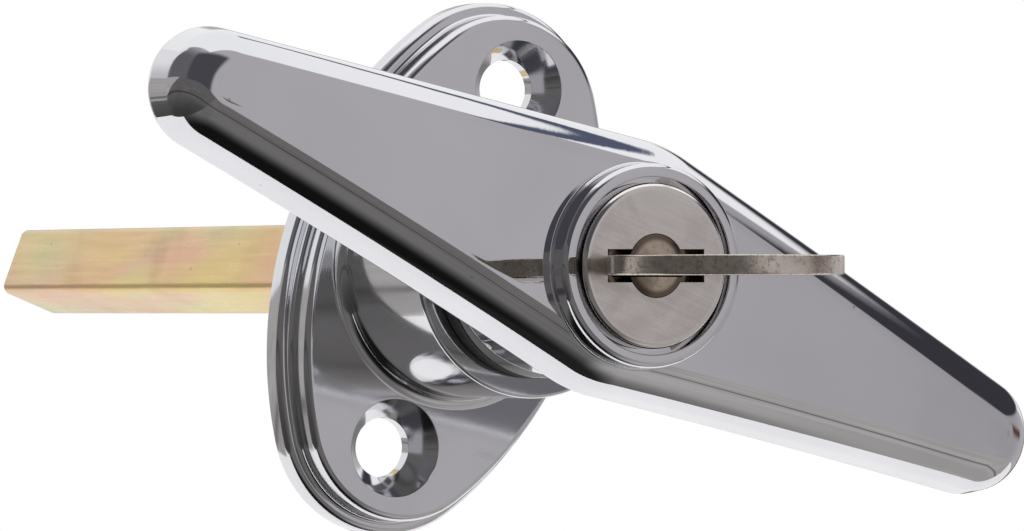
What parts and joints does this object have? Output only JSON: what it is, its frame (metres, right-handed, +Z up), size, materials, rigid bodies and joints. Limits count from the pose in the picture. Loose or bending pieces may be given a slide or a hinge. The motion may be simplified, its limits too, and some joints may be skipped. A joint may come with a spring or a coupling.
{
  "type": "locking t-handle",
  "caption": "Locking T-handle: swept-back lozenge grip with a key lock in its boss, turning a square spindle in an oval two-tier escutcheon.",
  "frame": {"origin": "on the spindle's axis in the plane of the mounting face, the back of the escutcheon", "axes": "+Y along the spindle towards the rear, away from the user; +Z up along the escutcheon's long axis; +X to the right as seen from the front; the grip lies along X at rest"},
  "size_m": [0.1092, 0.1701, 0.0594],
  "materials": {
    "chrome_casting": "zinc casting, bright mirror chrome, with fine handling scratches",
    "seal_rubber": "black, satin",
    "cap_stainless": "drawn stainless sheet, satin, with a brighter rim",
    "bush_brass": "turned brass, tarnished",
    "key_nickel": "nickel-plated brass, with fine milling lines on its edge",
    "spindle_zinc": "steel bar, yellow zinc plated, iridescent pink and green",
    "lock_brass": "machined brass, dull",
    "housing_zinc": "cast zinc, matt grey",
    "spring_steel": "spring steel, oiled",
    "pin_steel": "ground steel",
    "plated_steel": "pressed steel, bright zinc plated"
  },
  "bodies": {
    "escutcheon_body": {"escutcheon": "chrome_casting", "neck_seal": "seal_rubber", "thrust_washer": "plated_steel"},
    "handle_body": {"handle": "chrome_casting", "lock_housing": "housing_zinc", "housing_pin": "pin_steel", "spindle": "spindle_zinc", "spindle_pin": "pin_steel", "spring_washer": "spring_steel", "stop_washer": "plated_steel", "retaining_ring": "spring_steel"},
    "plug_body": {"lock_plug": "lock_brass", "face_cap": "cap_stainless", "keyhole_bush": "bush_brass", "plug_clip": "spring_steel", "drive_pin": "pin_steel", "wafer_springs": "spring_steel"},
    "key_body": {"key": "key_nickel"},
    "bolt_body": {"locking_bolt": "plated_steel"},
    "wafer_1_body": {"wafer_1": "lock_brass"},
    "wafer_2_body": {"wafer_2": "lock_brass"},
    "wafer_3_body": {"wafer_3": "lock_brass"},
    "wafer_4_body": {"wafer_4": "lock_brass"},
    "wafer_5_body": {"wafer_5": "lock_brass"}
  },
  "joints": [
    {"name": "handle_turn", "type": "hinge", "parent": "escutcheon_body", "child": "handle_body", "pos_m": [0, 0, 0], "axis": [0, 1, 0], "range_deg": [-90, 90]},
    {"name": "key_turn", "type": "hinge", "parent": "handle_body", "child": "plug_body", "pos_m": [0, 0, 0], "axis": [0, 1, 0], "range_deg": [0, 90]},
    {"name": "key_slide", "type": "slide", "parent": "plug_body", "child": "key_body", "axis": [0, -1, 0], "range_m": [0, 0.026]},
    {"name": "bolt_slide", "type": "slide", "parent": "handle_body", "child": "bolt_body", "axis": [1, 0, 0], "range_m": [0, 0.00213]},
    {"name": "wafer_1_slide", "type": "slide", "parent": "plug_body", "child": "wafer_1_body", "axis": [-0.9298, 0, -0.3681], "range_m": [0, 0.00081]},
    {"name": "wafer_2_slide", "type": "slide", "parent": "plug_body", "child": "wafer_2_body", "axis": [-0.9298, 0, -0.3681], "range_m": [0, 0.00081]},
    {"name": "wafer_3_slide", "type": "slide", "parent": "plug_body", "child": "wafer_3_body", "axis": [-0.9298, 0, -0.3681], "range_m": [0, 0.00081]},
    {"name": "wafer_4_slide", "type": "slide", "parent": "plug_body", "child": "wafer_4_body", "axis": [-0.9298, 0, -0.3681], "range_m": [0, 0.00081]},
    {"name": "wafer_5_slide", "type": "slide", "parent": "plug_body", "child": "wafer_5_body", "axis": [-0.9298, 0, -0.3681], "range_m": [0, 0.00081]}
  ],
  "couplings": [
    {"joint": "bolt_slide", "follows": "key_turn", "m_per_rad": 0.0013505},
    {"joint": "wafer_1_slide", "follows": "key_slide", "ratio": 0.0308},
    {"joint": "wafer_2_slide", "follows": "key_slide", "ratio": 0.0308},
    {"joint": "wafer_3_slide", "follows": "key_slide", "ratio": 0.0308},
    {"joint": "wafer_4_slide", "follows": "key_slide", "ratio": 0.0308},
    {"joint": "wafer_5_slide", "follows": "key_slide", "ratio": 0.0308}
  ]
}
